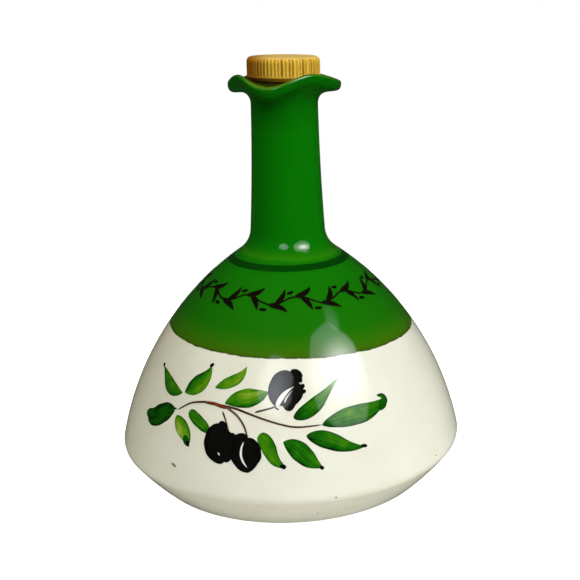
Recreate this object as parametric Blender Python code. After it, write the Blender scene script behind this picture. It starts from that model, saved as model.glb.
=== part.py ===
"""An oil cruet: a turned ceramic bottle with a wavy lip, and the wooden stopper that closes it.

Both pieces are surfaces of revolution about +Z. The origin is the centre of the base and the
front of the bottle faces -Y. Lengths are in metres.
"""

import math

import bmesh
import bpy
from mathutils import Vector

MM = 0.001
TURN = 2 * math.pi

# Bottle: driving dimensions
BODY_DIAMETER = 148 * MM
FOOT_DIAMETER = 119 * MM
CREASE_HEIGHT = 17 * MM
NECK_FOOT_DIAMETER = 32.5 * MM
NECK_FOOT_HEIGHT = 102.3 * MM
NECK_DIAMETER = 27.7 * MM
LIP_DIAMETER = 44.6 * MM
LIP_HEIGHT = 164.8 * MM
UNDER_LIP_SLOPE = math.radians(20)
RIM_LEAN = math.radians(-4)
MOUTH_SLOPE = math.radians(14)
LIP_THICKNESS = 4.3 * MM
BORE_DIAMETER = 20 * MM

# How far the stretches between the corners stand out from a straight line
CHAMFER_BOW = 0.55 * MM
SHOULDER_BOW = 10.4 * MM
NECK_BOW = -0.5 * MM

# The sharp crease stands this far outside the body, before its rounding takes that off
CREASE_ALLOWANCE = 0.4 * MM

# How far each rounded corner reaches along the stretches beside it
FOOT_ROUNDING = 1.5 * MM
CREASE_ROUNDING = 2.2 * MM
NECK_FOOT_ROUNDING = 6 * MM
UNDER_LIP_ROUNDING = 4.2 * MM
RIM_ROUNDING = 2.05 * MM
MOUTH_ROUNDING = 2.5 * MM

# The lip is pinched into three unevenly spaced waves that fade out towards the neck
WAVE_COUNT = 3
WAVE_HEIGHT = 2.25 * MM
WAVE_SPREAD = 1.2 * MM
WAVE_ANGLE = math.radians(51)
WAVE_UNEVENNESS = math.radians(21)
WAVE_CROWDED_ANGLE = math.radians(-45)
LIP_TILT = 0.7 * MM
LIP_TILT_ANGLE = math.radians(130)

# Stopper: driving dimensions
HEAD_DIAMETER = 30 * MM
HEAD_HEIGHT = 9.6 * MM
HEAD_BOTTOM = 170.4 * MM
HEAD_TOP_ROUNDING = 2.4 * MM
HEAD_CHAMFER_HEIGHT = 1.6 * MM
HEAD_CHAMFER_WIDTH = 1.1 * MM
PLUG_LENGTH = 20 * MM
PLUG_ROUNDING = 1.2 * MM
FLUTE_COUNT = 62
FLUTE_DEPTH = 0.45 * MM
FIT_GAP = 0.3 * MM

# Smoothness of the faceted solids
BOTTLE_SEGMENTS = 72
SHARP_ANGLE = math.radians(35)
MERGE_DISTANCE = 0.01 * MM

GREEN_GLAZE = (0.02, 0.16, 0.005)
GLAZE_ROUGHNESS = 0.12
GOLDEN_WOOD = (0.60, 0.33, 0.07)
WOOD_ROUGHNESS = 0.5


def remove_scene_objects():
    """Empty the scene, so that the script can be run again."""
    for old in list(bpy.data.objects):
        bpy.data.objects.remove(old, do_unlink=True)


def bowed_point(start, end, bow, share):
    """Return the point at this share of the way along an arc that bows out to the right by bow."""
    chord = end - start
    point = start + chord * share
    if bow == 0:
        return point
    half = chord.length / 2
    radius = (half * half + bow * bow) / (2 * abs(bow))
    along = (share - 0.5) * chord.length
    rise = math.sqrt(radius * radius - along * along) - (radius - abs(bow))
    right = Vector((chord.y, -chord.x)).normalized()
    return point + right * math.copysign(rise, bow)


def rounded_outline(corners, stretches):
    """Return the points of an outline of bowed stretches and rounded corners.

    corners holds (radius, height, reach, steps) and stretches holds (bow, steps). A corner with a
    reach is a quadratic curve from that far before it to that far after it.
    """
    places = [Vector((radius, height)) for radius, height, reach, steps in corners]
    outline = [places[0]]
    for index, (bow, steps) in enumerate(stretches):
        start = places[index]
        end = places[index + 1]
        length = (end - start).length
        first_share = corners[index][2] / length
        last_share = 1 - corners[index + 1][2] / length
        for step in range(1, steps + 1):
            share = first_share + (last_share - first_share) * step / steps
            outline.append(bowed_point(start, end, bow, share))
        if index + 1 < len(stretches):
            outline += corner_points(outline[-1], end, index + 1, places, corners, stretches)
    return outline


def corner_points(before, corner, index, places, corners, stretches):
    """Return the points of the quadratic curve that rounds one corner of an outline."""
    reach = corners[index][2]
    steps = corners[index][3]
    if reach == 0:
        return []
    following = places[index + 1]
    share = reach / (following - corner).length
    after = bowed_point(corner, following, stretches[index][0], share)
    points = []
    for step in range(1, steps + 1):
        part = step / steps
        first = before.lerp(corner, part)
        second = corner.lerp(after, part)
        points.append(first.lerp(second, part))
    return points


def turn_on_axis(outline, segments):
    """Return a closed bmesh: the outline, which starts and ends on the axis, turned about Z."""
    mesh = bmesh.new()
    chain = [mesh.verts.new((point.x, 0, point.y)) for point in outline]
    for first, second in zip(chain, chain[1:]):
        mesh.edges.new((first, second))
    bmesh.ops.spin(
        mesh,
        geom=mesh.verts[:] + mesh.edges[:],
        cent=(0, 0, 0),
        axis=(0, 0, 1),
        angle=TURN,
        steps=segments,
        use_merge=True,
    )
    bmesh.ops.remove_doubles(mesh, verts=mesh.verts[:], dist=MERGE_DISTANCE)
    bmesh.ops.recalc_face_normals(mesh, faces=mesh.faces[:])
    return mesh


def angle_from_front(place):
    """Return the angle about Z from the front, -Y, towards +X."""
    return math.atan2(place.x, -place.y)


def shape_lip(mesh):
    """Pinch the lip into waves: raised parts draw in and lowered parts spread out."""
    neck_radius = NECK_DIAMETER / 2
    lip_width = LIP_DIAMETER / 2 - neck_radius
    lowest = LIP_HEIGHT - 2 * UNDER_LIP_ROUNDING
    for vertex in mesh.verts:
        place = vertex.co
        radius = math.hypot(place.x, place.y)
        if place.z < lowest or radius < neck_radius:
            continue
        share = min((radius - neck_radius) / lip_width, 1)
        weight = share * share * (3 - 2 * share)
        angle = angle_from_front(place)
        shift = WAVE_UNEVENNESS * math.sin(angle - WAVE_CROWDED_ANGLE)
        wave = math.cos(WAVE_COUNT * (angle - WAVE_ANGLE + shift))
        tilt = math.cos(angle - LIP_TILT_ANGLE)
        scale = 1 - WAVE_SPREAD * wave * weight / radius
        place.x *= scale
        place.y *= scale
        place.z += (WAVE_HEIGHT * wave + LIP_TILT * tilt) * weight


def cut_flutes(mesh, lowest):
    """Draw every second column of the head's side in, which leaves upright ridges between."""
    full_radius = HEAD_DIAMETER / 2
    half_turn_columns = FLUTE_COUNT
    for vertex in mesh.verts:
        place = vertex.co
        radius = math.hypot(place.x, place.y)
        if radius < full_radius - FLUTE_DEPTH or place.z < lowest - MERGE_DISTANCE:
            continue
        column = round(angle_from_front(place) / math.pi * half_turn_columns)
        if column % 2:
            place.x *= 1 - FLUTE_DEPTH / radius
            place.y *= 1 - FLUTE_DEPTH / radius


def plain_material(name, color, roughness):
    """Return a Principled material of one colour and roughness."""
    material = bpy.data.materials.new(name)
    material.use_nodes = True
    surface = material.node_tree.nodes["Principled BSDF"]
    surface.inputs["Base Color"].default_value = (*color, 1)
    surface.inputs["Roughness"].default_value = roughness
    surface.inputs["Metallic"].default_value = 0
    material.diffuse_color = (*color, 1)
    return material


def add_piece(name, mesh, material):
    """Add the bmesh to the scene as one smooth-shaded object at the origin."""
    data = bpy.data.meshes.new(name)
    mesh.to_mesh(data)
    mesh.free()
    data.shade_smooth()
    data.set_sharp_from_angle(angle=SHARP_ANGLE)
    data.materials.append(material)
    piece = bpy.data.objects.new(name, data)
    bpy.context.scene.collection.objects.link(piece)
    return piece


def make_bottle():
    """Make the bottle: a wide cone on a chamfered foot, a slim neck, and a wavy lip."""
    foot_radius = FOOT_DIAMETER / 2
    crease_radius = BODY_DIAMETER / 2 + CREASE_ALLOWANCE
    neck_foot_radius = NECK_FOOT_DIAMETER / 2
    neck_radius = NECK_DIAMETER / 2
    lip_radius = LIP_DIAMETER / 2
    bore_radius = BORE_DIAMETER / 2
    under_rim = LIP_HEIGHT + (lip_radius - neck_radius) * math.tan(UNDER_LIP_SLOPE)
    top_radius = lip_radius - LIP_THICKNESS * math.sin(RIM_LEAN)
    top_height = under_rim + LIP_THICKNESS * math.cos(RIM_LEAN)
    mouth_height = top_height - (top_radius - bore_radius) * math.tan(MOUTH_SLOPE)
    bore_bottom = HEAD_BOTTOM - PLUG_LENGTH - FIT_GAP
    corners = [
        (0, 0, 0, 0),
        (foot_radius, 0, FOOT_ROUNDING, 3),
        (crease_radius, CREASE_HEIGHT, CREASE_ROUNDING, 4),
        (neck_foot_radius, NECK_FOOT_HEIGHT, NECK_FOOT_ROUNDING, 5),
        (neck_radius, LIP_HEIGHT, UNDER_LIP_ROUNDING, 5),
        (lip_radius, under_rim, RIM_ROUNDING, 3),
        (top_radius, top_height, RIM_ROUNDING, 3),
        (bore_radius, mouth_height, MOUTH_ROUNDING, 4),
        (bore_radius, bore_bottom, 0, 0),
        (0, bore_bottom, 0, 0),
    ]
    stretches = [
        (0, 1),
        (CHAMFER_BOW, 2),
        (SHOULDER_BOW, 12),
        (NECK_BOW, 4),
        (0, 2),
        (0, 1),
        (0, 3),
        (0, 1),
        (0, 1),
    ]
    mesh = turn_on_axis(rounded_outline(corners, stretches), BOTTLE_SEGMENTS)
    shape_lip(mesh)
    return add_piece("bottle", mesh, plain_material("glazed_ceramic", GREEN_GLAZE, GLAZE_ROUGHNESS))


def make_stopper():
    """Make the stopper: a fluted round head on a plain plug that fills the neck's bore."""
    head_radius = HEAD_DIAMETER / 2
    plug_radius = BORE_DIAMETER / 2 - FIT_GAP
    head_top = HEAD_BOTTOM + HEAD_HEIGHT
    chamfer_top = HEAD_BOTTOM + HEAD_CHAMFER_HEIGHT
    plug_end = HEAD_BOTTOM - PLUG_LENGTH
    corners = [
        (0, head_top, 0, 0),
        (head_radius, head_top, HEAD_TOP_ROUNDING, 4),
        (head_radius, chamfer_top, 0, 0),
        (head_radius - HEAD_CHAMFER_WIDTH, HEAD_BOTTOM, 0, 0),
        (plug_radius, HEAD_BOTTOM, 0, 0),
        (plug_radius, plug_end, PLUG_ROUNDING, 2),
        (0, plug_end, 0, 0),
    ]
    stretches = [(0, 1)] * (len(corners) - 1)
    mesh = turn_on_axis(rounded_outline(corners, stretches), 2 * FLUTE_COUNT)
    cut_flutes(mesh, chamfer_top)
    return add_piece("stopper", mesh, plain_material("turned_wood", GOLDEN_WOOD, WOOD_ROUGHNESS))


def main():
    """Build the whole cruet."""
    remove_scene_objects()
    make_bottle()
    make_stopper()


main()
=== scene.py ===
# %% [markdown]
# # An oil cruet of glazed earthenware
# A cruet is a small oil bottle for the table. This one is thrown on a wheel in earthenware, dipped in
# cream and green glaze, painted with an olive spray, and closed with a fluted wooden stopper. The packed
# model gives the true sizes. This lesson dresses it: it turns finer surfaces, mixes the glazes and paints
# each stroke.

import math

import bpy
import numpy as np
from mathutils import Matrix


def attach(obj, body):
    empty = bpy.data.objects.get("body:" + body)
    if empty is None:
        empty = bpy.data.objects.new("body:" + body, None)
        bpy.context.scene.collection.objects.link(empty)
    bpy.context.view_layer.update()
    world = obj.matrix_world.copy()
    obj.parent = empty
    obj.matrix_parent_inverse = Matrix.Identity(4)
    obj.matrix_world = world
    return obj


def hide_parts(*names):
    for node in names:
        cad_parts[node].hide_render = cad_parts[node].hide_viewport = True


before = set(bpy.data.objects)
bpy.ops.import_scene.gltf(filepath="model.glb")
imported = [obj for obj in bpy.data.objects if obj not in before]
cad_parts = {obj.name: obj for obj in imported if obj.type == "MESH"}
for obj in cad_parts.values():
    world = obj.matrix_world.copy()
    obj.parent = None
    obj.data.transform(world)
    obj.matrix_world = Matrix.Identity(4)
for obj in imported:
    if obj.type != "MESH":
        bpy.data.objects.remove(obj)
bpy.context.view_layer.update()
print("nodes:", sorted(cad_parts))

# %% [markdown]
# ## Sizes
# A maker works in millimetres, and Blender works in metres, so each size is written as a number of MM. The
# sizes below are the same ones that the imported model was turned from, so the finer surfaces fit it exactly.

# %% Sizes of the bottle and the stopper
MM = 0.001
FOOT_RADIUS = 59.5 * MM
CREASE_RADIUS = 74.4 * MM
CREASE_HEIGHT = 17 * MM
NECK_FOOT_RADIUS = 16.25 * MM
NECK_FOOT_HEIGHT = 102.3 * MM
NECK_RADIUS = 13.85 * MM
LIP_RADIUS = 22.3 * MM
LIP_HEIGHT = 164.8 * MM
UNDER_LIP_SLOPE = math.radians(20)
UNDER_LIP_ROUNDING = 4.2 * MM
LIP_THICKNESS = 4.3 * MM
RIM_LEAN = math.radians(-4)
RIM_ROUNDING = 2.05 * MM
MOUTH_SLOPE = math.radians(14)
BORE_RADIUS = 10 * MM
HEAD_RADIUS = 15 * MM
HEAD_HEIGHT = 9.6 * MM
HEAD_BOTTOM = 170.4 * MM
HEAD_TOP_ROUNDING = 2.4 * MM
HEAD_CHAMFER_HEIGHT = 1.6 * MM
HEAD_CHAMFER_WIDTH = 1.1 * MM
PLUG_RADIUS = 9.7 * MM
PLUG_LENGTH = 20 * MM
FIT_GAP = 0.3 * MM
print("cruet:", round((HEAD_BOTTOM + HEAD_HEIGHT) / MM, 1), "mm high")

# %% [markdown]
# ## An outline for the lathe
# A potter pulls one profile up while the wheel turns. The profile is a chain of corners joined by gently
# bowed stretches, with each corner rounded. It could be a Bezier curve drawn by hand, but a formula keeps
# every radius a known size and can be sampled as finely as the light needs.

# %% Bowed stretches and rounded corners
def bowed(start, end, bow, shares):
    """Points at these shares of the way from start to end, on an arc that bows out to the right.

    With half the chord h and the bow b, the arc's radius is (h*h + b*b) / 2b. A point stands off the
    chord by sqrt(radius^2 - along^2) - (radius - b), where along is its distance from the chord's middle.
    """
    chord = end - start
    length = np.hypot(*chord)
    points = start + np.outer(shares, chord)
    if bow == 0:
        return points
    arc_radius = (length * length / 4 + bow * bow) / (2 * abs(bow))
    along = (shares - 0.5) * length
    rise = np.sqrt(arc_radius * arc_radius - along * along) - (arc_radius - abs(bow))
    right = np.array([chord[1], -chord[0]]) / length
    return points + np.outer(math.copysign(1, bow) * rise, right)


def rounded(before, corner, after, steps):
    """The quadratic curve (1-t)^2 before + 2t(1-t) corner + t^2 after, which rounds one corner."""
    t = np.linspace(0, 1, steps + 1)[1:, None]
    return (1 - t) ** 2 * before + 2 * t * (1 - t) * corner + t * t * after


def lathe_outline(corners, stretches):
    """An outline as rows of (radius, height).

    corners holds (radius, height, reach, steps): a corner is rounded from its reach before it to its
    reach after it. stretches holds (bow, steps) for the arc between each corner and the next.
    """
    places = [np.array(corner[:2]) for corner in corners]
    reaches = [corner[2] for corner in corners]
    outline = [places[:1]]
    for index, (bow, steps) in enumerate(stretches):
        start, end = places[index], places[index + 1]
        length = np.hypot(*(end - start))
        first = reaches[index] / length
        last = 1 - reaches[index + 1] / length
        outline.append(bowed(start, end, bow, np.linspace(first, last, steps + 1)[1:]))
        if reaches[index + 1] > 0:
            share = reaches[index + 1] / np.hypot(*(places[index + 2] - end))
            after = bowed(end, places[index + 2], stretches[index + 1][0], np.array([share]))[0]
            outline.append(rounded(outline[-1][-1], end, after, corners[index + 1][3]))
    return np.vstack(outline)

# %% [markdown]
# ## Turning the outline
# Turning is the lathe's own step: each point of the outline becomes a ring. Blender's Screw modifier or Spin
# would do it too. Worked out as one array, the rings can still be pushed about by a formula afterwards, which
# the wavy lip and the flutes need. The two ends lie on the axis and are closed by a fan of triangles.

# %% Turn an outline into a closed surface
def turned_rings(outline, columns):
    """Rings of points: x = r sin(angle), y = -r cos(angle), z = height, with the angle from the front."""
    angle = np.linspace(0, 2 * math.pi, columns, endpoint=False)
    radius, height = outline[:, :1], outline[:, 1:]
    x = radius * np.sin(angle)
    y = -radius * np.cos(angle)
    return np.stack([x, y, np.broadcast_to(height, x.shape)], axis=2)


def closed_faces(rows, columns):
    """Quads between neighbouring rings of a grid that closes round, then a fan at each pole.

    Point j of ring i has the number i * columns + j. The two poles come after all the rings.
    """
    ring = np.arange(rows - 1)[:, None] * columns
    here = np.arange(columns)
    beside = (here + 1) % columns
    quads = np.stack([ring + here, ring + beside, ring + columns + beside, ring + columns + here], axis=2)
    low_pole = rows * columns
    top = (rows - 1) * columns
    low_fan = np.stack([np.full(columns, low_pole), beside, here], axis=1)
    high_fan = np.stack([top + here, top + beside, np.full(columns, low_pole + 1)], axis=1)
    return quads.reshape(-1, 4).tolist() + low_fan.tolist() + high_fan.tolist()


def add_piece(name, points, faces, flat_faces=None):
    """A smooth-shaded mesh object at the origin. flat_faces marks faces that keep hard edges."""
    mesh = bpy.data.meshes.new(name)
    mesh.from_pydata(points.tolist(), [], faces)
    smooth = np.ones(len(mesh.polygons), dtype=bool)
    if flat_faces is not None:
        smooth[:] = ~flat_faces
    mesh.polygons.foreach_set("use_smooth", smooth)
    mesh.update()
    piece = bpy.data.objects.new(name, mesh)
    bpy.context.scene.collection.objects.link(piece)
    return piece


def add_turned_piece(name, outline, columns, reshape):
    """Turn an outline whose ends lie on the axis, let reshape move the rings, and add the piece."""
    rings = reshape(turned_rings(outline[1:-1], columns))
    poles = [(0, 0, outline[0][1]), (0, 0, outline[-1][1])]
    points = np.vstack([rings.reshape(-1, 3), poles])
    return add_piece(name, points, closed_faces(len(rings), columns))

# %% [markdown]
# ## The bottle
# The wheel leaves a chamfered foot, a wide bowed shoulder and a slim neck. While the clay is wet the
# potter pinches the lip into three uneven waves, so that the oil pours without a drip. The wave is added
# as a formula that grows from nothing at the neck to its full height at the rim.

# %% Outline of the bottle
under_rim = LIP_HEIGHT + (LIP_RADIUS - NECK_RADIUS) * math.tan(UNDER_LIP_SLOPE)
rim_top_radius = LIP_RADIUS - LIP_THICKNESS * math.sin(RIM_LEAN)
rim_top_height = under_rim + LIP_THICKNESS * math.cos(RIM_LEAN)
mouth_height = rim_top_height - (rim_top_radius - BORE_RADIUS) * math.tan(MOUTH_SLOPE)
bore_bottom = HEAD_BOTTOM - PLUG_LENGTH - FIT_GAP

bottle_corners = [
    (0, 0, 0, 0),
    (FOOT_RADIUS, 0, 1.5 * MM, 8),
    (CREASE_RADIUS, CREASE_HEIGHT, 2.2 * MM, 10),
    (NECK_FOOT_RADIUS, NECK_FOOT_HEIGHT, 6 * MM, 14),
    (NECK_RADIUS, LIP_HEIGHT, UNDER_LIP_ROUNDING, 14),
    (LIP_RADIUS, under_rim, RIM_ROUNDING, 8),
    (rim_top_radius, rim_top_height, RIM_ROUNDING, 8),
    (BORE_RADIUS, mouth_height, 2.5 * MM, 8),
    (BORE_RADIUS, bore_bottom, 0, 0),
    (0, bore_bottom, 0, 0),
]
bottle_stretches = [
    (0, 6), (0.55 * MM, 8), (10.4 * MM, 64), (-0.5 * MM, 40), (0, 8), (0, 3), (0, 10), (0, 8), (0, 3),
]
bottle_outline = lathe_outline(bottle_corners, bottle_stretches)
print("outline of the bottle:", len(bottle_outline), "points")

# %% Pinch the lip and turn the bottle
BOTTLE_COLUMNS = 288
WAVE_HEIGHT = 2.25 * MM
WAVE_SPREAD = 1.2 * MM
WAVE_ANGLE = math.radians(51)
WAVE_UNEVENNESS = math.radians(21)
WAVE_CROWDED_ANGLE = math.radians(-45)
LIP_TILT = 0.7 * MM
LIP_TILT_ANGLE = math.radians(130)


def pinched_lip(rings):
    """Raise the lip by cos(3 * angle), with the waves crowded to one side, and tilt it a little.

    The wave is weighted by s * s * (3 - 2 * s), where s runs from 0 at the neck to 1 at the rim. Where
    the rim rises it also draws in, as pinched clay does.
    """
    x, y, z = rings[..., 0], rings[..., 1], rings[..., 2]
    radius = np.hypot(x, y)
    angle = np.arctan2(x, -y)
    share = np.clip((radius - NECK_RADIUS) / (LIP_RADIUS - NECK_RADIUS), 0, 1)
    share = np.where(z >= LIP_HEIGHT - 2 * UNDER_LIP_ROUNDING, share, 0)
    weight = share * share * (3 - 2 * share)
    crowding = WAVE_UNEVENNESS * np.sin(angle - WAVE_CROWDED_ANGLE)
    wave = np.cos(3 * (angle - WAVE_ANGLE + crowding))
    drawn_in = 1 - WAVE_SPREAD * wave * weight / radius
    lifted = z + (WAVE_HEIGHT * wave + LIP_TILT * np.cos(angle - LIP_TILT_ANGLE)) * weight
    return np.stack([x * drawn_in, y * drawn_in, lifted], axis=2)


bottle = add_turned_piece("glazed_bottle", bottle_outline, BOTTLE_COLUMNS, pinched_lip)
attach(bottle, "root")
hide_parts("bottle")
print("bottle:", len(bottle.data.polygons), "faces")

# %% [markdown]
# ## The stopper
# The stopper is turned from pale wood, with fine upright flutes so that oily fingers can grip it. The flutes
# are cut with a worn tool, so their widths and depths vary. They could be a bump in the material, but their
# ridges catch the light along the edge of the head, so they are real grooves in the mesh.

# %% Turn and flute the stopper
FLUTE_COUNT = 62
POINTS_PER_FLUTE = 10
FLUTE_DEPTH = 0.45 * MM
FLUTE_FADE_IN = 0.5 * MM
FLUTE_FADE_OUT = 0.9 * MM
head_top = HEAD_BOTTOM + HEAD_HEIGHT
chamfer_top = HEAD_BOTTOM + HEAD_CHAMFER_HEIGHT
plug_end = HEAD_BOTTOM - PLUG_LENGTH

stopper_corners = [
    (0, plug_end, 0, 0),
    (PLUG_RADIUS, plug_end, 1.2 * MM, 4),
    (PLUG_RADIUS, HEAD_BOTTOM, 0, 0),
    (HEAD_RADIUS - HEAD_CHAMFER_WIDTH, HEAD_BOTTOM, 0.3 * MM, 3),
    (HEAD_RADIUS, chamfer_top, 0.3 * MM, 3),
    (HEAD_RADIUS, head_top, HEAD_TOP_ROUNDING, 10),
    (0, head_top, 0, 0),
]
stopper_stretches = [(0, 3), (0, 4), (0, 3), (0, 3), (0, 12), (0, 8)]
stopper_outline = lathe_outline(stopper_corners, stopper_stretches)
flute_chance = np.random.default_rng(11)
flute_depths = flute_chance.uniform(0.55, 1.0, FLUTE_COUNT)
flute_shifts = flute_chance.uniform(-0.16, 0.16, FLUTE_COUNT)


def groove_depth(rings):
    """How deep the flutes are cut at each point, from 0 to 1.

    Round the head it is (0.5 - 0.5 cos(2 pi * place in the flute)) ** 0.8. Up the head it fades in above
    the chamfer and out over the rounded top edge.
    """
    x, y, z = rings[..., 0], rings[..., 1], rings[..., 2]
    turn = np.arctan2(x, -y) / (2 * math.pi) % 1 * FLUTE_COUNT
    number = np.floor(turn).astype(int) % FLUTE_COUNT
    place = turn + flute_shifts[number] * np.sin(math.pi * (turn % 1)) ** 2
    groove = (0.5 - 0.5 * np.cos(2 * math.pi * place)) ** 0.8 * flute_depths[number]
    fade_in = np.clip((z - chamfer_top) / FLUTE_FADE_IN, 0, 1)
    fade_out = np.clip((head_top - z) / FLUTE_FADE_OUT, 0, 1)
    on_side = np.hypot(x, y) > HEAD_RADIUS - 1.2 * MM
    return groove * fade_in * fade_out * on_side


def fluted(rings):
    """Draw each point of the head's side in towards the axis by its groove's depth."""
    radius = np.hypot(rings[..., 0], rings[..., 1])
    drawn_in = 1 - FLUTE_DEPTH * groove_depth(rings) / radius
    return np.stack([rings[..., 0] * drawn_in, rings[..., 1] * drawn_in, rings[..., 2]], axis=2)


stopper = add_turned_piece("fluted_stopper", stopper_outline, FLUTE_COUNT * POINTS_PER_FLUTE, fluted)
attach(stopper, "root")
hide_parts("stopper")
print("stopper:", len(stopper.data.polygons), "faces")

# %% [markdown]
# ## Mixing colours and wiring nodes
# A glaze recipe is a colour and a few numbers. Colours are written as the hex values a screen shows, and
# one function turns them into the linear values that light is worked out in. One more function adds any
# shader node with its settings and its links, so that each material below reads as a list of what it is
# made of. Blender's node editor would do it by hand, but a list can be read, changed and run again.

# %% Helpers for materials
def linear(hex_colour):
    """An sRGB hex colour as linear RGBA: c / 12.92 up to 0.04045, ((c + 0.055) / 1.055) ** 2.4 above."""
    code = hex_colour.lstrip("#")
    shares = [int(code[place:place + 2], 16) / 255 for place in (0, 2, 4)]
    return (*[c / 12.92 if c <= 0.04045 else ((c + 0.055) / 1.055) ** 2.4 for c in shares], 1)


def node(tree, kind, *values, **named):
    """Add a shader node of any kind, with its settings and its links.

    values fill its inputs in order. A name that starts with a capital is an input as well, with _ for
    each space, and so is in with a number. Any other name is a setting. A node is linked by its first
    output, a socket is linked as it is, a hex colour is made linear, and a number is set.
    """
    made = tree.nodes.new("ShaderNode" + kind)
    given = dict(enumerate(values))
    for name, value in named.items():
        if name[0].isupper():
            given[name.replace("_", " ")] = value
        elif name[2:].isdigit():
            given[int(name[2:])] = value
        else:
            setattr(made, name, value)
    for key, value in given.items():
        if isinstance(value, bpy.types.Node):
            value = value.outputs[0]
        if isinstance(value, bpy.types.NodeSocket):
            tree.links.new(value, made.inputs[key])
        else:
            made.inputs[key].default_value = linear(value) if isinstance(value, str) else value
    return made


def set_stops(ramp, stops):
    """Give a colour ramp its (place, hex colour) stops, and return its colour output."""
    elements = ramp.color_ramp.elements
    while len(elements) < len(stops):
        elements.new(0.5)
    for element, (place, colour) in zip(elements, sorted(stops)):
        element.position = place
        element.color = linear(colour)
    return ramp.outputs["Color"]


def new_material(name):
    """An empty node material: its tree and its Principled shader."""
    material = bpy.data.materials.new(name)
    material.use_nodes = True
    return material, material.node_tree, material.node_tree.nodes["Principled BSDF"]


print("middle grey in linear light:", round(linear("#808080")[0], 3))

# %% [markdown]
# ## Glazed earthenware
# Glaze is a thin coat of coloured glass. Light goes through it and back from the clay, so its colour is
# deep, and its skin is smooth enough to mirror a window. The bottle is dipped in cream and then in green,
# so the colours change at a height, a little unevenly. A banding brush on the wheel leaves the dark ring.
# The glaze runs off the lip's outer lobes and off the chamfer above the foot, where it is thin and pale.
# The lip's crest that faces up is painted paler as well, partly thin glaze and partly a painted highlight,
# and the mouth under the stopper is painted nearly black, a painted shade. All of this is a matter of
# height, radius and which way the glaze faces, so coats are laid over each other through soft masks, and
# no picture has to be wrapped round the pot.

# %% The glazes' colours by height
GLAZE_LOW = 60
GLAZE_HIGH = 180
GREEN_STOPS = [
    (67.6, "#2A3605"),
    (68.2, "#426807"),
    (71.0, "#347005"),
    (76.0, "#1A6E03"),
    (93.0, "#107203"),
    (98.5, "#107203"),
    (99.3, "#2C8005"),
    (101.2, "#1A7603"),
    (103.0, "#087502"),
    (150.0, "#057502"),
    (162.0, "#056401"),
    (175.0, "#056201"),
]
CLOUDED_GREEN = "#0B6A05"
CLOUD_SIZE = 22
RING_GREEN = "#033F03"
RING_LOW = 95.5
RING_HIGH = 97.6
BORDER_HEIGHT = 67.5
BORDER_TILT = 0.022
BORDER_WOBBLE = 0.9
BORDER_WOBBLE_SIZE = 14
BORDER_TREMBLE = 0.7
BORDER_TREMBLE_SIZE = 2.6
EDGE_SOFTNESS = 0.18
FAR = 400


def millimetres(tree):
    """The place on the piece in millimetres, and its three parts."""
    in_metres = node(tree, "TexCoord").outputs["Object"]
    place = node(tree, "VectorMath", in_metres, Scale=1 / MM, operation="SCALE")
    return place, node(tree, "SeparateXYZ", place).outputs


def between(tree, value, low, high, softness):
    """1 between low and high and 0 outside, with soft steps at both. FAR leaves a side open."""
    rising = node(tree, "MapRange", value, low - softness, low + softness, interpolation_type="SMOOTHSTEP")
    falling = node(tree, "MapRange", value, high + softness, high - softness, interpolation_type="SMOOTHSTEP")
    return node(tree, "Math", rising, falling, operation="MULTIPLY")


def coat(tree, under, mask, over, strength=1.0):
    """The colour over, laid at this strength on the colour under, where the mask is 1."""
    share = node(tree, "Math", mask, strength, operation="MULTIPLY")
    return node(tree, "Mix", share, in6=under, in7=over, data_type="RGBA").outputs[2]

# %% The glaze's skin, shared by the glaze and the paint under it
FINGER_MARK_SIZE = 9
FINGER_MARK_SHARE = 4
ORANGE_PEEL_SIZE = 2.2
SKIN_RELIEF = 0.02 * MM


def glaze_skin(tree, surface, place):
    """A glassy skin: IOR 1.5, a small roughness, and a bump of broad ripples and fine orange peel.

    The ripples are the thrower's finger marks, a few millimetres apart up the pot.
    """
    surface.inputs["IOR"].default_value = 1.5
    surface.inputs["Metallic"].default_value = 0.0
    surface.inputs["Roughness"].default_value = 0.07
    drawn_round = node(tree, "VectorMath", place, (0.15, 0.15, 1.0), operation="MULTIPLY")
    ripples = node(tree, "TexNoise", drawn_round, Scale=1 / FINGER_MARK_SIZE)
    peel = node(tree, "TexNoise", place, Scale=1 / ORANGE_PEEL_SIZE)
    relief = node(tree, "Math", ripples, FINGER_MARK_SHARE, peel, operation="MULTIPLY_ADD")
    bump = node(tree, "Bump", Height=relief, Strength=0.25, Distance=SKIN_RELIEF)
    tree.links.new(bump.outputs[0], surface.inputs["Normal"])

# %% Thin glaze on the chamfer
CHAMFER_TOP = 17
THIN_CREAM = "#C9C2A2"
SMUDGE_SIZE = 4


def thin_on_chamfer(tree, cream, place, parts):
    """Cream that is thin and smudged on the chamfer above the foot, with smudges that lie along it."""
    drawn_round = node(tree, "VectorMath", place, (0.3, 0.3, 1.0), operation="MULTIPLY")
    smudges = node(tree, "TexNoise", drawn_round, Scale=1 / SMUDGE_SIZE, Detail=4)
    on_chamfer = between(tree, parts["Z"], -FAR, CHAMFER_TOP, 1.5)
    thin = node(tree, "Math", on_chamfer, smudges, operation="MULTIPLY")
    return coat(tree, cream, thin, THIN_CREAM, 0.4)

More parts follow.
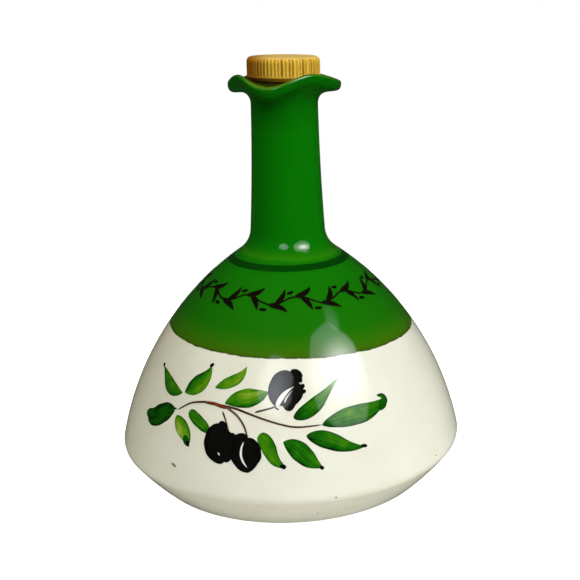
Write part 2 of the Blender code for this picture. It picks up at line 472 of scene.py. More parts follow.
# %% Two dips of glaze and a banded ring
def two_dips(tree, place, parts):
    """Cream below and green above a wavering border, with a dark ring, chosen by the height on the pot."""
    swell = node(tree, "TexNoise", place, Scale=1 / BORDER_WOBBLE_SIZE)
    wobble = node(tree, "Math", swell, BORDER_WOBBLE, -BORDER_WOBBLE / 2, operation="MULTIPLY_ADD")
    tilted = node(tree, "Math", parts["X"], BORDER_TILT, parts["Z"], operation="MULTIPLY_ADD")
    height = node(tree, "Math", tilted, wobble, operation="ADD")
    shiver = node(tree, "TexNoise", place, Scale=1 / BORDER_TREMBLE_SIZE)
    tremble = node(tree, "Math", shiver, BORDER_TREMBLE, -BORDER_TREMBLE / 2, operation="MULTIPLY_ADD")
    edge_height = node(tree, "Math", height, tremble, operation="ADD")
    climbed = node(tree, "Math", height, GLAZE_LOW, operation="SUBTRACT")
    share = node(tree, "Math", climbed, GLAZE_HIGH - GLAZE_LOW, operation="DIVIDE")
    stops = [((z - GLAZE_LOW) / (GLAZE_HIGH - GLAZE_LOW), colour) for z, colour in GREEN_STOPS]
    green = set_stops(node(tree, "ValToRGB", share), stops)
    cloud = node(tree, "TexNoise", place, Scale=1 / CLOUD_SIZE, Detail=3)
    green = coat(tree, green, cloud, CLOUDED_GREEN, 0.25)
    cream = set_stops(node(tree, "ValToRGB", cloud), [(0.3, "#E6E5D3"), (0.7, "#EDECDD")])
    cream = thin_on_chamfer(tree, cream, place, parts)
    in_green = between(tree, edge_height, BORDER_HEIGHT, FAR, EDGE_SOFTNESS)
    in_ring = between(tree, parts["Z"], RING_LOW, RING_HIGH, EDGE_SOFTNESS)
    return coat(tree, coat(tree, cream, in_green, green), in_ring, RING_GREEN)

# %% Painted shade in the mouth, and thin glaze and a painted highlight at the lip
LIP_LOW = 155
RIM_LOW = 165
MOUTH_SHADE_RADIUS = 20.3
MOUTH_SHADE_GREEN = "#022602"
CREST_RADIUS = 20.9
CREST_TILT = 0.4
LOBE_RADIUS = 24.4
PALE_RIM_GREEN = "#487E1E"


def shaded_mouth_and_pale_rim(tree, colour, place, parts):
    """Painted shade in the mouth, thin glaze on the lobes, and on the crest thin glaze and a painted
    highlight.

    The radius is the length of (x, y, 0), and a place faces up by the z of its normal.
    """
    flat_place = node(tree, "VectorMath", place, (1, 1, 0), operation="MULTIPLY")
    radius = node(tree, "VectorMath", flat_place, operation="LENGTH").outputs["Value"]
    facing_up = node(tree, "SeparateXYZ", node(tree, "NewGeometry").outputs["Normal"]).outputs["Z"]
    upward = node(tree, "Math", facing_up, 0.1, operation="GREATER_THAN")
    at_rim = between(tree, parts["Z"], RIM_LOW, FAR, 1.0)
    on_rim = node(tree, "Math", upward, at_rim, operation="MULTIPLY")
    near_bore = between(tree, radius, -FAR, MOUTH_SHADE_RADIUS, 0.8)
    mouth_shade = node(tree, "Math", near_bore, on_rim, operation="MULTIPLY")
    # Painted shade: the mouth under the stopper's head is painted nearly black.
    colour = coat(tree, colour, mouth_shade, MOUTH_SHADE_GREEN)
    # Partly thin glaze and partly a painted highlight: the crest that faces up is painted paler. The outer
    # lobes are paler where the glaze is thin.
    level = between(tree, facing_up, CREST_TILT, FAR, 0.3)
    level_rim = node(tree, "Math", on_rim, level, operation="MULTIPLY")
    past_pool = between(tree, radius, CREST_RADIUS, FAR, 0.8)
    crest = node(tree, "Math", level_rim, past_pool, operation="MULTIPLY")
    on_lobes = between(tree, radius, LOBE_RADIUS, FAR, 1.2)
    broken = node(tree, "Math", crest, on_lobes, operation="MAXIMUM")
    at_lip = between(tree, parts["Z"], LIP_LOW, FAR, 2.0)
    thin = node(tree, "Math", broken, at_lip, operation="MULTIPLY")
    return coat(tree, colour, thin, PALE_RIM_GREEN, 0.8)

# %% Glaze the bottle
def glazed_earthenware():
    """The two dips, the mouth's painted shade, the lip's thin glaze and painted highlight, and the glassy
    skin.
    """
    material, tree, surface = new_material("glazed_earthenware_cream_and_green")
    place, parts = millimetres(tree)
    colour = shaded_mouth_and_pale_rim(tree, two_dips(tree, place, parts), place, parts)
    tree.links.new(colour, surface.inputs["Base Color"])
    glaze_skin(tree, surface, place)
    return material


bottle.data.materials.append(glazed_earthenware())
print("material:", bottle.data.materials[0].name)

# %% [markdown]
# ## Paper that wraps the pot
# A decorator thinks in flat strokes, and the pot bends them. So each stroke is laid out on flat paper, in
# millimetres across and up the slope, and the paper is then wrapped round the wall. Projecting a flat drawing
# from the front would be simpler, but it would smear at the sides.

# %% Wrap paper onto the wall
on_wall = (bottle_outline[:, 0] > NECK_RADIUS - 1 * MM) & (bottle_outline[:, 1] > 1 * MM)
on_wall &= bottle_outline[:, 1] < LIP_HEIGHT - 15 * MM
wall_radius, wall_height = bottle_outline[on_wall].T
wall_slope = np.concatenate([[0], np.cumsum(np.hypot(np.diff(wall_radius), np.diff(wall_height)))])
outward_radius = np.gradient(wall_height, wall_slope)
outward_height = -np.gradient(wall_radius, wall_slope)


def paper_point(angle, height, girth):
    """Paper coordinates of a place on the wall: angle in degrees from the front, height in millimetres."""
    return np.array([math.radians(angle) * girth, np.interp(height * MM, wall_height, wall_slope)])


def wrapped(across, up, girth, lift):
    """Wrap paper points onto the wall: angle = across / girth, and lift is how far they stand off it."""
    radius = np.interp(up, wall_slope, wall_radius) + lift * np.interp(up, wall_slope, outward_radius)
    height = np.interp(up, wall_slope, wall_height) + lift * np.interp(up, wall_slope, outward_height)
    angle = across / girth
    return np.stack([radius * np.sin(angle), -radius * np.cos(angle), height], axis=-1)


print("wall from", round(wall_height[0] / MM, 1), "to", round(wall_height[-1] / MM, 1), "mm")

# %% [markdown]
# ## One brush stroke
# A loaded round brush is pressed down, pulled along and lifted off: it leaves a blunt start, a full belly and
# a fine tip. The stroke is a thin closed pad that stands a few hundredths of a millimetre off the glaze, so
# light runs across it as across the glaze. Every point keeps where it is along and across the stroke and how
# much colour it carries, which the paint's material turns into streaks and pools.

# %% Lay a stroke along a line
SUNK = 0.3 * MM
SUNK_POINTS = 2
CRISP_EDGE = 0.985
stroke_chance = np.random.default_rng(23)


def laid_stroke(middle, half_width, girth, lift, loading, widths):
    """A closed pad along the line middle: its points, its brush values and its grid size.

    Across the pad v runs from -1 to 1 and the place is middle + v * half_width * left. loading(t, v)
    gives the colour carried. A narrow band beside each edge keeps the edge crisp. The last two points of
    each row lie under the glaze.
    """
    along = np.gradient(middle, axis=0)
    along /= np.hypot(along[:, 0], along[:, 1])[:, None]
    left = np.stack([-along[:, 1], along[:, 0]], axis=1)
    v = np.concatenate([[-1, -CRISP_EDGE], np.linspace(-1, 1, widths)[1:-1], [CRISP_EDGE, 1, 1, -1]])
    depth = np.concatenate([np.full(widths + 2, lift), [-SUNK, -SUNK]])
    paper = middle[:, None] + (half_width[:, None] * v)[..., None] * left[:, None]
    points = wrapped(paper[..., 0], paper[..., 1], girth, depth)
    steps = np.hypot(*np.diff(middle, axis=0).T)
    travelled = np.concatenate([[0], np.cumsum(steps)]) / MM
    t = travelled / travelled[-1]
    load = np.clip(loading(t[:, None], v), 0, 1)
    start = stroke_chance.uniform(0, 500)
    brush = np.stack([
        np.broadcast_to(travelled[:, None] + start, load.shape),
        half_width[:, None] / MM * v,
        load,
    ], axis=2)
    return points.reshape(-1, 3), brush.reshape(-1, 3), len(middle), len(v)


def pad_faces(rows, ring, first):
    """Quads along a closed pad with one many-sided face at each end, numbered from the point first.

    The second list tells which faces are on top, and so smooth: those that don't reach the sunk points.
    """
    row = np.arange(rows - 1)[:, None] * ring + first
    here = np.arange(ring)
    beside = (here + 1) % ring
    quads = np.stack([row + here, row + ring + here, row + ring + beside, row + beside], axis=2)
    start_cap = (first + here).tolist()
    end_cap = (first + (rows - 1) * ring + here[::-1]).tolist()
    top = np.broadcast_to(here < ring - SUNK_POINTS - 1, (rows - 1, ring))
    return quads.reshape(-1, 4).tolist() + [start_cap, end_cap], top.ravel().tolist() + [False, False]


def store(piece, name, kind, values):
    """Keep one value for each point of a piece's mesh, as an attribute that a material can read."""
    attribute = piece.data.attributes.new(name, kind, "POINT")
    attribute.data.foreach_set("vector" if kind == "FLOAT_VECTOR" else "value", values.ravel())


def painted_piece(name, strokes, paint):
    """Join strokes into one piece in one paint, riding on the pot."""
    faces, smooth, first = [], [], 0
    for points, brush, rows, ring in strokes:
        more_faces, more_smooth = pad_faces(rows, ring, first)
        faces += more_faces
        smooth += more_smooth
        first += len(points)
    points = np.vstack([stroke[0] for stroke in strokes])
    piece = add_piece(name, points, faces, flat_faces=~np.array(smooth))
    store(piece, "brush", "FLOAT_VECTOR", np.vstack([stroke[1] for stroke in strokes]))
    piece.data.materials.append(paint)
    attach(piece, "root")
    print(name + ":", len(strokes), "strokes,", len(faces), "faces")

# %% Press, pull and lift
FOOT_SPREAD = 0.2
TIP_SPREAD = 0.14


def loaded(middle, side=0.0, foot=0.0, tip=0.0, rim=0.4):
    """Colour carried: middle + side * v, more by foot at the start, by tip at the end, by rim at the edge."""
    def loading(t, v):
        ends = foot * np.exp(-t / FOOT_SPREAD) + tip * np.exp(-(1 - t) / TIP_SPREAD)
        return middle + side * v + ends + rim * np.abs(v) ** 6
    return loading


def pressed(start, end, width, bend=0.0, flick=0.0, blunt=0.5, taper=0.5, lift=0.07, load=loaded(0.9),
            fine=(30, 13)):
    """A stroke from start to end, both (angle, height), with its sizes in millimetres.

    Its middle is start + t * chord, pushed left by 4 bend t (1 - t) + flick sin(2 pi t). Its width is
    (t / f) ** blunt * ((1 - t) / (1 - f)) ** taper of the full width, where f = blunt / (blunt + taper)
    is where the belly is fullest. Two slow sine waves shake its edge by a few hundredths.
    """
    rows, widths = fine
    girth = np.interp((start[1] + end[1]) / 2 * MM, wall_height, wall_radius)
    first, last = paper_point(*start, girth), paper_point(*end, girth)
    chord = last - first
    left = np.array([-chord[1], chord[0]]) / np.hypot(*chord)
    t = np.sin(np.linspace(0.006, 0.994, rows) * math.pi / 2) ** 2
    push = (4 * bend * t * (1 - t) + flick * np.sin(2 * math.pi * t)) * MM
    middle = first + np.outer(t, chord) + np.outer(push, left)
    fullest = blunt / (blunt + taper)
    belly = (t / fullest) ** blunt * ((1 - t) / (1 - fullest)) ** taper
    shake = stroke_chance.uniform(0, 2 * math.pi, 2)
    belly *= 1 + 0.02 * np.sin(9 * t + shake[0]) + 0.015 * np.sin(21 * t + shake[1])
    return laid_stroke(middle, width / 2 * MM * belly, girth, lift * MM, load, widths)


def drawn_line(places, widths, lift=0.09, load=loaded(0.7)):
    """A thin line through (angle, height) places, with a width in millimetres at each one.

    Between two places it follows the Catmull-Rom cubic, whose slope at a place is half the way from the
    place before it to the place after it.
    """
    girth = np.interp(np.mean([height for angle, height in places]) * MM, wall_height, wall_radius)
    knots = np.array([paper_point(*place, girth) for place in places])
    ghosts = np.vstack([2 * knots[0] - knots[1], knots, 2 * knots[-1] - knots[-2]])
    run = np.linspace(0, len(places) - 1, 10 * len(places))
    number = np.minimum(run.astype(int), len(places) - 2)
    s = (run - number)[:, None]
    before, here, there, after = (ghosts[number + step] for step in range(4))
    middle = here + 0.5 * s * (there - before + s * (
        2 * before - 5 * here + 4 * there - after + s * (3 * (here - there) + after - before)))
    width = np.interp(run, np.arange(len(places)), widths)
    ends = np.clip(np.minimum(run, run[-1] - run) / 0.25, 0.08, 1) ** 0.5
    return laid_stroke(middle, width / 2 * MM * ends, girth, lift * MM, load, 5)

# %% [markdown]
# ## Underglaze paint
# The paints are ground oxides in water: copper and chrome for green, iron and manganese for brown and
# black. They soak into the raw glaze, so after firing they share its glassy skin. A thin load lets the
# cream glow through and a full load is nearly black. Streaks follow the bristles, about half a millimetre
# apart. The colour is read from the brush values that each stroke keeps, so it bends with the stroke.

# %% Mix the paints
BRISTLE_GAP = 0.6
STREAK_STRETCH = 0.05
BLOT_SIZE = 4


def underglaze(name, stops, streak=0.7):
    """A paint whose colour runs from a thin load at 0 to a full one at 1, broken by the bristles' streaks."""
    material, tree, surface = new_material(name)
    place, _ = millimetres(tree)
    brush = node(tree, "Attribute", attribute_name="brush").outputs["Vector"]
    parts = node(tree, "SeparateXYZ", brush).outputs
    along = node(tree, "Math", parts["X"], STREAK_STRETCH, operation="MULTIPLY")
    bristles = node(tree, "CombineXYZ", along, parts["Y"])
    streaks = node(tree, "TexNoise", bristles, Scale=1 / BRISTLE_GAP, Detail=3)
    blots = node(tree, "TexNoise", place, Scale=1 / BLOT_SIZE)
    broken = node(tree, "Math", blots, 0.6, streaks, operation="MULTIPLY_ADD")
    centred = node(tree, "Math", broken, 0.8, operation="SUBTRACT")
    load = node(tree, "Math", centred, streak, parts["Z"], operation="MULTIPLY_ADD")
    tree.links.new(set_stops(node(tree, "ValToRGB", load), stops), surface.inputs["Base Color"])
    glaze_skin(tree, surface, place)
    return material


leaf_green = underglaze("underglaze_copper_green", [
    (0.0, "#C0C878"), (0.12, "#8EAE38"), (0.26, "#6C9A16"), (0.44, "#3E800A"),
    (0.64, "#1A6606"), (0.84, "#084A04"), (1.0, "#082004"),
])
olive_black = underglaze("underglaze_manganese_black", [
    (0.0, "#4A4C50"), (0.5, "#1B1A1A"), (1.0, "#070706"),
], 0.3)
branch_brown = underglaze("underglaze_iron_brown", [(0.0, "#8A7460"), (0.5, "#5E4434"), (1.0, "#3A2018")])
white_slip = underglaze("white_slip", [(0.0, "#B9BBB6"), (0.6, "#F2F2EC"), (1.0, "#F6F6F2")])
print("paints:", [paint.name for paint in (leaf_green, olive_black, branch_brown, white_slip)])

# %% [markdown]
# ## The olive spray
# Sprays like this are a common ornament on oil ware. The decorator paints the leaves first, each in one
# press of the brush, then the branch, then the olives on top, and touches the wet tips with a dark brush.
# Each press below is written as its start and its end, in degrees round the pot and millimetres up it,
# then its width, its bend, its flick, and the powers that shape its start and its end.

# %% Leaves
leaf_strokes = [
    # Above the branch, from the left
    pressed((-44.4, 51.9), (-62.7, 58.0), 5.5, 1.7, 0.7, 0.91, 1.61, load=loaded(0.56, side=0.12, tip=0.3)),
    pressed((-43.5, 52.3), (-34.1, 64.0), 7.6, -2.0, 0.2, 1.0, 1.4, load=loaded(0.46, side=0.3, foot=0.3)),
    pressed((-30.2, 56.4), (-18.5, 64.8), 4.7, -1.8, 0.4, 0.9, 1.05, load=loaded(0.26, foot=0.45, tip=0.1)),
    pressed((-24.9, 51.6), (-8.8, 56.6), 7.3, 0.0, 0.4, 0.9, 0.93, load=loaded(0.40, side=-0.18, foot=0.3)),
    # The dark leaf at the branch's left end, with its lobe and its stem
    pressed((-45.8, 45.5), (-59.6, 37.9), 8.7, 0.2, -0.3, 0.6, 0.56, load=loaded(0.84)),
    pressed((-54.0, 41.4), (-61.6, 39.3), 4.4, 0.3, 0.0, lift=0.09, load=loaded(0.82)),
    drawn_line([(-46.4, 45.4), (-45.6, 45.8), (-44.8, 45.8)], [1.0, 0.7, 0.4], lift=0.08, load=loaded(0.86)),
    # Below the branch on the left, one of them with a dark tip
    pressed((-44.1, 43.6), (-36.3, 34.2), 6.2, 0.8, -0.3, 0.64, 0.75,
            load=loaded(0.22, side=0.15, foot=0.3, tip=0.6)),
    pressed((-38.7, 37.6), (-36.2, 34.1), 2.9, 0.1, 0.0, 0.6, 0.6, lift=0.09, load=loaded(0.85)),
    pressed((-38.6, 46.7), (-29.0, 40.8), 4.7, 0.0, -0.1, 0.35, 0.41, load=loaded(0.52, tip=0.3)),
    # Above the branch on the right, with a pale tip
    pressed((0.2, 47.6), (18.4, 59.8), 5.9, -0.9, -0.4, 0.64, 1.55, load=loaded(0.5, foot=0.5, tip=-0.35)),
    pressed((10.5, 54.6), (18.8, 60.1), 1.5, 0.1, 0.0, 0.7, 1.0, lift=0.09, load=loaded(0.36)),
    # The long leaf at the branch's right end, with its hook
    pressed((9.7, 44.5), (36.3, 49.6), 7.6, -0.9, 0.6, 0.78, 0.98,
            load=loaded(0.5, side=-0.12, foot=0.35, tip=0.4)),
    drawn_line([(31.8, 45.9), (33.4, 47.3), (34.8, 48.9), (34.4, 50.5), (32.2, 51.2)],
               [1.4, 3.4, 3.2, 2.1, 0.7], lift=0.076, load=loaded(0.8)),
    # Below the branch on the right
    pressed((4.2, 41.2), (24.1, 34.4), 6.7, -0.4, 0.6, 0.68, 1.21,
            load=loaded(0.6, side=-0.12, foot=0.3, tip=0.4)),
    pressed((-3.4, 39.4), (9.1, 29.1), 7.6, 0.3, 0.5, 0.85, 1.12, load=loaded(0.62, side=-0.1, foot=0.2)),
    pressed((-11.3, 41.9), (-2.4, 30.1), 5.7, -0.8, 0.8, 0.35, 0.76, load=loaded(0.48, side=0.1, tip=0.3)),
]
painted_piece("olive_leaves", leaf_strokes, leaf_green)

# %% Branch and twigs
branch_strokes = [
    drawn_line(
        [(-44.3, 45.6), (-39.1, 49.3), (-33.6, 50.8), (-31.3, 50.8), (-24.5, 50.6), (-19.4, 50.0),
         (-11.3, 47.6), (-3.8, 45.4), (1.5, 44.4), (9.7, 44.6)],
        [0.5, 0.75, 0.9, 1.0, 1.0, 0.9, 0.8, 0.75, 0.75, 0.5]),
    drawn_line([(-24.5, 50.6), (-19.9, 48.1), (-16.8, 44.6), (-14.9, 39.8)], [1.0, 0.9, 0.8, 0.7],
               load=loaded(0.4)),
    drawn_line([(-25.2, 48.8), (-23.4, 45.6), (-21.7, 41.8)], [0.8, 0.6, 0.5]),
    drawn_line([(-13.3, 49.5), (-9.8, 50.5), (-6.8, 51.4), (-4.9, 52.3)], [0.8, 0.75, 0.6, 0.4]),
    drawn_line([(-6.3, 51.3), (-5.5, 50.9), (-4.8, 50.5)], [0.5, 0.6, 0.4]),
]
painted_piece("olive_branch", branch_strokes, branch_brown)
red_brown = underglaze("underglaze_iron_red", [(0.0, "#9A4C30"), (1.0, "#5E2410")])
painted_piece("branch_fork", [
    drawn_line([(-32.6, 50.9), (-29.0, 50.9), (-26.0, 50.4), (-23.8, 50.0)], [1.0, 1.3, 1.4, 0.9], lift=0.11),
], red_brown)

# %% Olives
olive_strokes = [
    # The two that hang below the branch
    pressed((-26.6, 44.4), (-23.2, 30.2), 12.1, -0.4, 0.1, 0.57, 0.65, lift=0.11),
    pressed((-23.0, 42.3), (-21.9, 31.0), 6.0, 1.0, 0.0, 0.45, 0.5, lift=0.13),
    pressed((-25.6, 45.1), (-22.9, 42.5), 3.4, lift=0.13),
    pressed((-20.8, 41.8), (-19.6, 34.0), 5.4, lift=0.12),
    pressed((-23.4, 39.8), (-16.4, 39.4), 3.8, lift=0.14),
    pressed((-16.8, 39.9), (-14.4, 28.0), 12.4, 0.4, 0.2, 0.44, 0.63, lift=0.15),
    pressed((-19.8, 40.0), (-15.2, 40.9), 2.9, 0.2, 0.0, lift=0.15),
    # The one above the branch, with its stalk end
    pressed((-1.0, 63.6), (-4.4, 51.9), 11.6, -0.4, 0.0, 0.45, 0.5, lift=0.09, load=loaded(0.62, side=0.15)),
    pressed((0.2, 63.4), (-6.5, 51.9), 9.4, -1.1, 0.2, 1.09, 1.01, lift=0.11, load=loaded(0.55, side=-0.1)),
    pressed((2.9, 59.2), (-0.9, 50.1), 6.7, -1.2, 0.5, 0.45, 0.49, lift=0.13, load=loaded(0.8)),
    pressed((3.0, 57.6), (4.6, 58.9), 1.8, lift=0.12, fine=(12, 7)),
    pressed((3.4, 56.0), (5.0, 57.0), 1.6, lift=0.12, fine=(12, 7)),
    pressed((-0.4, 63.6), (3.9, 61.2), 3.2, 0.3, 0.0, lift=0.12),
    pressed((1.8, 62.6), (3.6, 59.6), 2.2, lift=0.13, fine=(12, 7)),
]
painted_piece("olives", olive_strokes, olive_black)

# %% Dark tips and white glints
tip_strokes = [
    pressed((-61.4, 57.4), (-63.0, 58.4), 1.2, lift=0.1, fine=(12, 7)),
    pressed((-35.2, 62.9), (-33.6, 64.2), 1.5, lift=0.1, fine=(12, 7)),
    pressed((-37.4, 35.8), (-36.0, 34.0), 1.5, 0.2, lift=0.1, fine=(16, 7)),
    pressed((22.0, 35.0), (24.3, 34.5), 1.4, lift=0.1, fine=(16, 7)),
    pressed((7.8, 29.9), (9.1, 28.9), 1.5, lift=0.1, blunt=0.6, taper=0.35, fine=(14, 7)),
    pressed((-4.6, 31.0), (-2.6, 30.2), 1.8, lift=0.1, blunt=0.7, taper=0.35, fine=(14, 7)),
]
painted_piece("leaf_tips", tip_strokes, olive_black)
glint_strokes = [
    pressed((-16.3, 38.9), (-14.7, 30.0), 0.8, -1.7, 0.0, 0.5, 0.6, lift=0.18, load=loaded(0.75)),
    pressed((-24.8, 34.2), (-24.1, 33.2), 0.5, lift=0.18, load=loaded(0.3), fine=(12, 7)),
    pressed((-5.6, 51.7), (0.9, 58.4), 1.9, 1.1, 0.0, 0.4, 1.1, lift=0.16, load=loaded(0.75, tip=-0.7)),
    pressed((-2.9, 52.9), (0.2, 57.0), 0.6, 0.5, 0.0, 0.4, 1.1, lift=0.16, load=loaded(0.2), fine=(16, 7)),
]
painted_piece("white_glints", glint_strokes, white_slip)

# %% [markdown]
# ## A border round the shoulder
# A running vine is brushed round the shoulder: a wavy stem, a pair of comma strokes in each bend and a dot
# between them. The count is chosen so that the pattern closes as the pot turns.

# %% Running vine
VINE_BENDS = 22
VINE_START = 5
VINE_HEIGHT = 86.3
VINE_SWING = 1.3
STEM_WIDTH = 0.8
step = 360 / VINE_BENDS
quarters = np.arange(4 * VINE_BENDS + 2)
stem_angles = VINE_START + quarters * step / 4
stem_shake = stroke_chance.uniform(-0.2, 0.2, len(quarters))
stem_heights = VINE_HEIGHT + VINE_SWING * np.cos(quarters * math.pi / 4) + stem_shake
stem = drawn_line(list(zip(stem_angles, stem_heights)), np.full(len(quarters), STEM_WIDTH), lift=0.08)
vine_strokes = [stem]
vine_leaf = {"blunt": 0.5, "taper": 0.9, "lift": 0.08, "fine": (14, 7)}
for number in range(VINE_BENDS):
    side = 1 if number % 2 == 0 else -1
    angle = VINE_START + step * number
    crest = VINE_HEIGHT + VINE_SWING * side
    sway = stroke_chance.uniform(-0.4, 0.4, 3)
    outer_tip = (angle + 0.62 * step, crest + side * (2.6 + sway[0]))
    inner_tip = (angle + 0.5 * step, crest - side * (4.9 + sway[1]))
    berry_start = (angle - 0.42 * step, crest + side * (1.2 + sway[2]))
    berry_end = (angle - 0.14 * step, crest + side * 1.6)
    vine_strokes += [
        pressed((angle - 0.1 * step, crest), outer_tip, 2.5, -0.9 * side, **vine_leaf),
        pressed((angle + 0.12 * step, crest), inner_tip, 2.3, 0.8 * side, **vine_leaf),
        pressed(berry_start, berry_end, 1.5, lift=0.08, fine=(10, 7)),
    ]
border_brown = underglaze("underglaze_border_brown", [(0.0, "#241A0A"), (1.0, "#0C0904")], 0.3)
painted_piece("shoulder_vine", vine_strokes, border_brown)

# %% Iron specks
speck_strokes = [
    pressed((-42.0, 26.0), (-39.8, 25.2), 1.1, lift=0.05, load=loaded(0.1), fine=(10, 7)),
    pressed((52.3, 20.3), (52.9, 20.1), 0.5, lift=0.05, load=loaded(0.5), fine=(10, 7)),
    pressed((12.0, 17.5), (12.6, 17.1), 0.6, lift=0.05, load=loaded(0.4), fine=(10, 7)),
    pressed((7.1, 8.0), (7.7, 7.7), 0.5, lift=0.05, load=loaded(0.3), fine=(10, 7)),
]
iron_speck = underglaze("iron_specks_in_the_glaze", [(0.0, "#8C8878"), (1.0, "#2A2620")])
painted_piece("iron_specks", speck_strokes, iron_speck)

# %% [markdown]
# ## Turned and varnished wood
# The head is pale golden wood under a satin varnish. Its colour is painted darker in the grooves, on the
# chamfer under the head and on its left side, all painted shade, and paler on its top face, a painted
# highlight. The mesh remembers how deep each point lies in its groove, as an attribute, so the colour can
# follow the flutes exactly.

# %% Mix the stopper's wood
FIBRE_WIDTH = 0.4
STAIN_SIZE = 5
SHADED_SIDE = -9
chamfer_shade_top = (chamfer_top + 0.3 * MM) / MM
top_face_low = (head_top - 0.5 * MM) / MM


def turned_wood():
    """Golden wood: fibres 0.4 mm wide along the axis, painted shade in the grooves, on the chamfer and on the
    left side, and a painted highlight on the top face.
    """
    material, tree, surface = new_material("varnished_turned_wood")
    place, parts = millimetres(tree)
    drawn_up = node(tree, "VectorMath", place, (1, 1, 0.12), operation="MULTIPLY")
    fibre = node(tree, "TexNoise", drawn_up, Scale=1 / FIBRE_WIDTH, Detail=4)
    golden = set_stops(node(tree, "ValToRGB", fibre), [(0.3, "#FFC430"), (0.7, "#FFE25C")])
    stain = node(tree, "TexNoise", place, Scale=1 / STAIN_SIZE)
    golden = coat(tree, golden, stain, "#C8820E", 0.22)
    # Painted shade: the grooves are painted dark brown by their depth, where shade falls between the ridges.
    groove = node(tree, "Attribute", attribute_name="groove").outputs["Fac"]
    colour = coat(tree, golden, groove, "#7A4600")
    # Painted shade: the chamfer under the head, which faces down, is painted darker brown.
    on_chamfer = between(tree, parts["Z"], -FAR, chamfer_shade_top, 0.3)
    colour = coat(tree, colour, on_chamfer, "#9C5C08", 0.75)
    # Painted highlight: the top face, which faces up, is painted paler.
    highlight_on_top = between(tree, parts["Z"], top_face_low, FAR, 0.3)
    colour = coat(tree, colour, highlight_on_top, "#CDB078", 0.65)
    # Painted shade: the left side, away from the right-hand softbox, is painted darker brown.
    shaded_side = between(tree, parts["X"], -FAR, SHADED_SIDE, 6.0)
    colour = coat(tree, colour, shaded_side, "#924A00", 0.82)
    tree.links.new(colour, surface.inputs["Base Color"])
    surface.inputs["Roughness"].default_value = 0.42
    surface.inputs["Specular IOR Level"].default_value = 0.12
    surface.inputs["IOR"].default_value = 1.5
    bump = node(tree, "Bump", Height=fibre, Strength=0.3, Distance=0.03 * MM)
    tree.links.new(bump.outputs[0], surface.inputs["Normal"])
    return material


stopper_points = np.empty(len(stopper.data.vertices) * 3)
stopper.data.vertices.foreach_get("co", stopper_points)
store(stopper, "groove", "FLOAT", groove_depth(stopper_points.reshape(1, -1, 3)))
stopper.data.materials.append(turned_wood())
print("material:", stopper.data.materials[0].name)

# %% [markdown]
# ## Floor, lights and camera
# The cruet stands on a small white disc in a dim room, before a white backdrop. A big octagonal softbox
# with a hot centre lights it from the right and is mirrored in the glaze, with a faint glow above it. A
# smaller one stands to the left. Two wide fills light the left side from above, and they are hidden from
# mirrors, because their pictures would wash the deep green out.

# %% Floor
FLOOR_RADIUS = 0.26
FLOOR_CORNERS = 96
FLOOR_SEEN = 0.9
FLOOR_BOUNCE = 0.33
POOL_EDGE = 50
POOL_SOFTNESS = 25
POOL_BOUNCE = 0.2
turn = np.linspace(0, 2 * math.pi, FLOOR_CORNERS, endpoint=False)
floor_points = np.stack([np.cos(turn), np.sin(turn), np.zeros(FLOOR_CORNERS)], axis=1) * FLOOR_RADIUS
floor = add_piece("studio_floor", floor_points, [list(range(FLOOR_CORNERS))])
floor_paper, floor_tree, floor_surface = new_material("white_floor_paper")
floor_surface.inputs["Base Color"].default_value = linear("#D8D8D6")
floor_surface.inputs["Roughness"].default_value = 0.9
floor_surface.inputs["Emission Color"].default_value = linear("#FFFFFF")

# The paper shines white to the camera, and less onto the pot, with a pool of lamp light on the right.
to_camera = node(floor_tree, "LightPath").outputs["Is Camera Ray"]
_, floor_parts = millimetres(floor_tree)
pool = between(floor_tree, floor_parts["X"], POOL_EDGE, FAR, POOL_SOFTNESS)
bounce = node(floor_tree, "Math", pool, POOL_BOUNCE, FLOOR_BOUNCE, operation="MULTIPLY_ADD")
missing = node(floor_tree, "Math", FLOOR_SEEN, bounce, operation="SUBTRACT")
shining = node(floor_tree, "Math", to_camera, missing, bounce, operation="MULTIPLY_ADD")
floor_tree.links.new(shining.outputs[0], floor_surface.inputs["Emission Strength"])
floor.data.materials.append(floor_paper)
floor.visible_glossy = False
print("floor:", 2 * FLOOR_RADIUS, "m wide")

# %% Softboxes
AIM_HEIGHT = 0.08


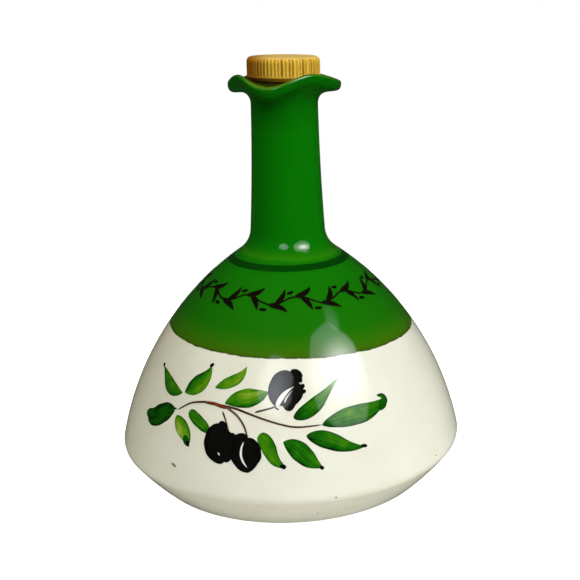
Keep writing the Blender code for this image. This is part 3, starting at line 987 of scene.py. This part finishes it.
def softbox(name, around, up, distance, side, even, hot=0.0, hot_place=(0, 0, 0), hot_spread=(1, 1, 1),
            colour="#FFFFFF"):
    """A one-sided octagonal area light that faces the pot's middle, from angles around and up in degrees.

    Its cloth is brighter in the middle, where the lamp stands behind it: it shines with even plus
    hot * exp(-d * d), where d is the distance from hot_place counted in hot_spread. An area light of W watts
    and A square metres shines with W / (pi * A), so pi * A watts leave the node's strength as it is. The
    octagon is a square whose corners are cut where (x + y) / sqrt(2) passes half of its side.
    """
    light = bpy.data.lights.new(name, "AREA")
    light.shape = "SQUARE"
    light.size = side
    light.energy = math.pi * side * side
    light.use_nodes = True
    lamp = bpy.data.objects.new(name, light)
    bpy.context.scene.collection.objects.link(lamp)
    around, up = math.radians(around), math.radians(up)
    aim = (math.cos(up) * math.sin(around), -math.cos(up) * math.cos(around), math.sin(up))
    lamp.location = np.array(aim) * distance + (0, 0, AIM_HEIGHT)
    lamp.rotation_euler = (math.pi / 2 - up, 0, around)

    tree = light.node_tree
    share = node(tree, "NewGeometry").outputs["Parametric"]
    centred = node(tree, "VectorMath", share, (0.5, 0.5, 0), operation="SUBTRACT")
    face = node(tree, "VectorMath", centred, Scale=side, operation="SCALE")
    from_hot = node(tree, "VectorMath", face, hot_place, operation="SUBTRACT")
    away = node(tree, "VectorMath", from_hot, hot_spread, operation="DIVIDE")
    squared = node(tree, "VectorMath", away, away, operation="DOT_PRODUCT").outputs["Value"]
    falling = node(tree, "Math", squared, -1.0, operation="MULTIPLY")
    glow = node(tree, "Math", falling, operation="EXPONENT")
    shine = node(tree, "Math", glow, hot, even, operation="MULTIPLY_ADD")
    folds = node(tree, "SeparateXYZ", node(tree, "VectorMath", face, operation="ABSOLUTE")).outputs
    both = node(tree, "Math", folds["X"], folds["Y"], operation="ADD")
    corner = node(tree, "Math", both, math.sqrt(0.5), operation="MULTIPLY")
    inside = node(tree, "Math", corner, side / 2, operation="LESS_THAN")
    cut = node(tree, "Math", shine, inside, operation="MULTIPLY")
    tree.links.new(cut.outputs[0], tree.nodes["Emission"].inputs["Strength"])
    tree.nodes["Emission"].inputs["Color"].default_value = linear(colour)
    return lamp


softbox("right_softbox", around=42.8, up=35.4, distance=0.9, side=0.69, even=1.8,
        hot=16.0, hot_place=(0.06, 0.03, 0), hot_spread=(0.2, 0.13, 1))
softbox("upper_glow", around=66, up=54.5, distance=0.95, side=0.18, even=0.3,
        hot=1.3, hot_place=(-0.04, -0.04, 0), hot_spread=(0.07, 0.09, 1))
softbox("left_softbox", around=-15, up=37, distance=1.0, side=0.42, even=1.5,
        hot=2.9, hot_place=(0, -0.06, 0), hot_spread=(0.16, 0.2, 1), colour="#F2F6FF")
overhead = softbox("overhead_fill", around=-85, up=66, distance=1.2, side=1.2, even=1.85, colour="#FFF6C6")
overhead.visible_glossy = False
front = softbox("front_fill", around=-28, up=55, distance=1.2, side=0.8, even=1.5, colour="#D0DEFF")
front.visible_glossy = False

# %% The room
room = bpy.data.worlds.new("dim_room")
bpy.context.scene.world = room
room.use_nodes = True
room_tree = room.node_tree
dim = room_tree.nodes["Background"]
dim.inputs["Color"].default_value = linear("#FDFFE8")
dim.inputs["Strength"].default_value = 0.02
bright = node(room_tree, "Background", Color="#FFFFFF", Strength=1.0)
seen = node(room_tree, "LightPath").outputs["Is Camera Ray"]
chosen = node(room_tree, "MixShader", seen, dim, bright)
room_tree.links.new(chosen.outputs[0], room_tree.nodes["World Output"].inputs["Surface"])
print("room:", room.name)

# %% Camera
IMAGE_SIDE = 580
FOCAL_PIXELS = 1022.86
SHIFT_PIXELS = -96.0
CAMERA_DISTANCE = 430 * MM
CAMERA_HEIGHT = 204.1 * MM
CAMERA_DIP = 0.2813
CAMERA_TURN = -0.09787
camera_data = bpy.data.cameras.new("camera")
camera_data.sensor_width = 36
camera_data.lens = FOCAL_PIXELS * camera_data.sensor_width / IMAGE_SIDE
camera_data.shift_x = SHIFT_PIXELS / IMAGE_SIDE
camera = bpy.data.objects.new("camera", camera_data)
camera.location = (0, -CAMERA_DISTANCE, CAMERA_HEIGHT)
camera.rotation_euler = (math.pi / 2 - CAMERA_DIP, 0, CAMERA_TURN)
bpy.context.scene.collection.objects.link(camera)
bpy.context.scene.camera = camera
bpy.context.scene.view_settings.view_transform = "Standard"
print("lens:", round(camera_data.lens, 1), "mm")
